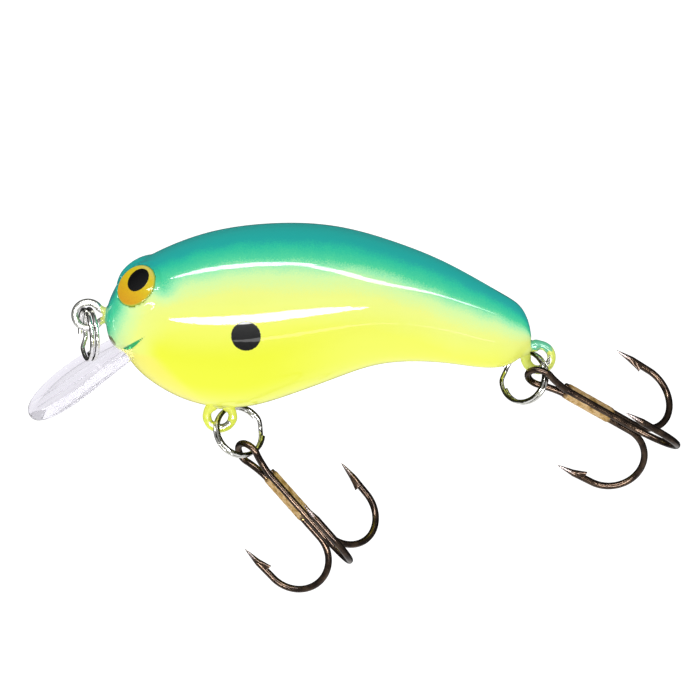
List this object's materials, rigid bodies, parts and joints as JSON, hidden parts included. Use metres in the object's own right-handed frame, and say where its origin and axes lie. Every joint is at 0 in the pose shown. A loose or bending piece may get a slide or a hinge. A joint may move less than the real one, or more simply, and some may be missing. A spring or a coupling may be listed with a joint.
{
  "type": "crankbait lure",
  "caption": "Fat-bodied hard fishing lure with a clear round diving lip, wire line tie, split rings and belly and tail treble hooks that swing.",
  "frame": {"origin": "centre of the line-tie eye's hole, on the lure's plane of symmetry, where the fishing line holds it", "axes": "+X from nose to tail, +Z from belly to back with the lure swimming upright, -Y towards the lure's left side"},
  "size_m": [0.0769, 0.0198, 0.0446],
  "materials": {
    "body_paint": "sprayed teal back fading through green and mint to chartreuse yellow, under a high gloss clear coat, with a black spot on each side",
    "clear_lip": "clear polished polycarbonate",
    "eye_gold": "glossy gold iris with a black pupil",
    "bright_wire": "bright drawn stainless wire",
    "painted_wire": "steel wire oversprayed with the body's yellow and green",
    "ballast_metal": "dull grey cast metal",
    "ball_steel": "polished bearing steel",
    "ring_nickel": "bright nickel plate",
    "hook_bronze": "dark bronze lacquer over tempered steel wire",
    "braze_metal": "bronze brazing metal, dull gold to brown"
  },
  "bodies": {
    "body": {"body_shell_left": "body_paint", "body_shell_right": "body_paint", "diving_lip": "clear_lip", "eye_left": "eye_gold", "eye_right": "eye_gold", "line_tie": "bright_wire", "belly_hanger": "painted_wire", "tail_hanger": "painted_wire", "ballast_weight": "ballast_metal"},
    "nose_ring": {"nose_split_ring": "ring_nickel"},
    "belly_ring": {"belly_split_ring": "ring_nickel"},
    "belly_treble": {"belly_treble_double": "hook_bronze", "belly_treble_single": "hook_bronze", "belly_treble_braze": "braze_metal"},
    "tail_ring": {"tail_split_ring": "ring_nickel"},
    "tail_treble": {"tail_treble_double": "hook_bronze", "tail_treble_single": "hook_bronze", "tail_treble_braze": "braze_metal"},
    "rattle_1": {"rattle_ball_1": "ball_steel"},
    "rattle_2": {"rattle_ball_2": "ball_steel"},
    "rattle_3": {"rattle_ball_3": "ball_steel"}
  },
  "joints": [
    {"name": "nose_ring_swing", "type": "hinge", "parent": "body", "child": "nose_ring", "pos_m": [0, 0, 0], "axis": [0, 1, 0], "range_deg": [-2, 205]},
    {"name": "belly_ring_swing", "type": "hinge", "parent": "body", "child": "belly_ring", "pos_m": [0.0153, 0, -0.01245], "axis": [0, 1, 0], "range_deg": [-15, 105]},
    {"name": "belly_treble_swing", "type": "hinge", "parent": "belly_ring", "child": "belly_treble", "pos_m": [0.01871, -0.00115, -0.01684], "axis": [0.8112, 0.5759, 0.1012], "range_deg": [-72, 120]},
    {"name": "tail_ring_swing", "type": "hinge", "parent": "body", "child": "tail_ring", "pos_m": [0.0529, 0, -0.0052], "axis": [0, 1, 0], "range_deg": [-120, 10]},
    {"name": "tail_treble_slide_round_ring", "type": "hinge", "parent": "tail_ring", "child": "tail_treble", "pos_m": [0.05122, 0, -0.00765], "axis": [0.5731, 0.7193, -0.3925], "range_deg": [-20, 150]},
    {"name": "rattle_1_slide", "type": "slide", "parent": "body", "child": "rattle_1", "axis": [0, 1, 0], "range_m": [-0.0031, 0.0031]},
    {"name": "rattle_2_slide", "type": "slide", "parent": "body", "child": "rattle_2", "axis": [0, 1, 0], "range_m": [-0.00275, 0.00275]},
    {"name": "rattle_3_slide", "type": "slide", "parent": "body", "child": "rattle_3", "axis": [0, 1, 0], "range_m": [-0.0017, 0.0017]}
  ]
}
